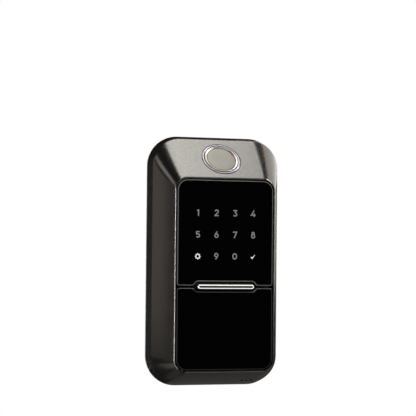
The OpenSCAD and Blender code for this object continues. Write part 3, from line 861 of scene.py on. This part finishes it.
def make_camera():
    yaw, pitch, roll = math.radians(17.88), math.radians(-1.88), math.radians(0.55)
    distance = 0.8318
    target = Vector((-6.81, -15.43, 62.37)) * MM
    forward = Vector((math.sin(yaw) * math.cos(pitch), math.cos(yaw) * math.cos(pitch),
                      -math.sin(pitch)))
    right = Vector((math.cos(yaw), -math.sin(yaw), 0))
    up = right.cross(forward)
    right, up = (right * math.cos(roll) + up * math.sin(roll),
                 up * math.cos(roll) - right * math.sin(roll))
    data = bpy.data.cameras.new("camera")
    data.sensor_width = 36
    data.lens = 137.7
    camera = bpy.data.objects.new("camera", data)
    bpy.context.scene.collection.objects.link(camera)
    turn = Matrix((right, up, -forward)).transposed().to_4x4()
    camera.matrix_world = Matrix.Translation(target - forward * distance) @ turn
    bpy.context.scene.camera = camera


def softbox(name, place, target, size, radiance, color):
    """A rectangular lamp that the camera does not see; without a target it faces straight down."""
    data = bpy.data.lights.new(name, "AREA")
    data.shape = "RECTANGLE"
    data.size, data.size_y = size
    data.energy = radiance * math.pi * size[0] * size[1]
    data.color = color
    lamp = bpy.data.objects.new(name, data)
    bpy.context.scene.collection.objects.link(lamp)
    lamp.location = place
    lamp.visible_camera = False
    if target:
        aim(lamp, target)


def make_world():
    """White behind the lock; dim grey for everything that the surfaces reflect."""
    world = bpy.data.worlds.new("studio")
    bpy.context.scene.world = world
    world.use_nodes = True
    nodes, links = world.node_tree.nodes, world.node_tree.links
    nodes.clear()
    out = nodes.new("ShaderNodeOutputWorld")
    seen, unseen = nodes.new("ShaderNodeBackground"), nodes.new("ShaderNodeBackground")
    seen.inputs["Color"].default_value = (1, 1, 1, 1)
    seen.inputs["Strength"].default_value = 1.0
    unseen.inputs["Color"].default_value = (0.80, 0.78, 0.75, 1)
    unseen.inputs["Strength"].default_value = 0.014
    swap, path = nodes.new("ShaderNodeMixShader"), nodes.new("ShaderNodeLightPath")
    links.new(path.outputs["Is Camera Ray"], swap.inputs[0])
    links.new(unseen.outputs[0], swap.inputs[1])
    links.new(seen.outputs[0], swap.inputs[2])
    links.new(swap.outputs[0], out.inputs["Surface"])


def make_floor():
    """A large pale floor well below the lock."""
    s = Shader("stage_pale", (0.92, 0.92, 0.92), roughness=0.9)
    s.glow((1, 1, 1), 1.0)
    mesh = bpy.data.meshes.new("floor")
    reach, level = 6.0, -1.0
    corners = [(-reach, -reach), (reach, -reach), (reach, reach), (-reach, reach)]
    mesh.from_pydata([(x, y, level) for x, y in corners], [], [(0, 1, 2, 3)])
    mesh.materials.append(s.material)
    floor = bpy.data.objects.new("floor", mesh)
    bpy.context.scene.collection.objects.link(floor)
    floor.visible_glossy = False
    floor.visible_diffuse = False


def panel_light(name, azimuth, elevation, distance, size, radiance, color):
    """A softbox seen from the lock at an azimuth (0 is the front, + to the right) and elevation."""
    az, el = math.radians(azimuth), math.radians(elevation)
    direction = Vector((math.sin(az) * math.cos(el), -math.cos(az) * math.cos(el), math.sin(el)))
    middle = Vector((0, -0.012, 0.035))
    softbox(name, middle + direction * distance, middle, size, radiance, color)


# Each lamp: name, azimuth, elevation, distance, size, radiance, colour
WHITE, CREAM, PEACH, NEUTRAL = (1, 1, 1), (1.0, 0.95, 0.9), (1.0, 0.88, 0.80), (0.99, 1.0, 0.98)
LAMPS = [
    # Seen in the slopes and walls on the right
    ("right_back_box", 120, 26, 0.9, (0.80, 0.95), 1.9, (1.0, 0.94, 0.89)),
    ("back_box", 187, -8, 1.1, (0.66, 0.5), 4.6, WHITE),
    ("low_right_box", 116, -30, 0.9, (0.5, 0.27), 0.9, (1.0, 0.93, 0.88)),
    # Seen in the slope and the wall on the left
    ("left_back_box", -122, 10, 0.9, (0.26, 0.5), 0.45, PEACH),
    ("left_streak", -98, 28, 0.9, (0.22, 0.22), 1.5, (1.0, 0.96, 0.92)),
    # The bright lines along the rim: on the left, round the lower left corner, at the upper right corner
    ("left_strip", -84, -2, 0.9, (0.12, 0.45), 28, WHITE),
    ("left_strip_low", -86, -40, 0.9, (0.12, 0.72), 12.0, WHITE),
    ("right_high_card", 66, 40, 0.9, (0.26, 0.36), 13.0, WHITE),
    # Seen in the lower slope and its two corners
    ("low_left_card", -112, -35, 0.9, (0.35, 0.34), 0.40, CREAM),
    ("low_corner_card", -142, -59, 0.9, (0.75, 0.28), 0.115, (1.0, 0.96, 0.92)),
    ("low_card", 102, -70, 0.5, (0.3, 0.2), 1.0, WHITE),
    ("low_back_card", 150, -38, 0.8, (0.55, 0.5), 0.09, (1.0, 0.97, 0.94)),
    # Fill for other views of the front and for the key compartment
    ("left_fill", -44, 4, 1.0, (0.45, 0.6), 0.9, WHITE),
    ("right_fill", 52, 6, 1.0, (0.45, 0.6), 1.1, WHITE),
    ("front_top_card", 0, 34, 1.0, (0.7, 0.35), 1.3, WHITE),
]


def make_lights():
    softbox("top_box", (0.025, -0.08, 0.75), None, (0.53, 0.50), 4.0, NEUTRAL)
    softbox("top_box_left", (-0.01, -0.08, 0.76), None, (0.46, 0.50), 1.0, NEUTRAL)
    for lamp in LAMPS:
        panel_light(*lamp)


make_camera()
make_world()
make_floor()
make_lights()
dress_nodes()
make_housing()
make_touch_glass()
make_cover_lens()
make_key_symbols()
make_lock_bar()
make_reader()

bpy.context.scene.view_settings.view_transform = "Standard"
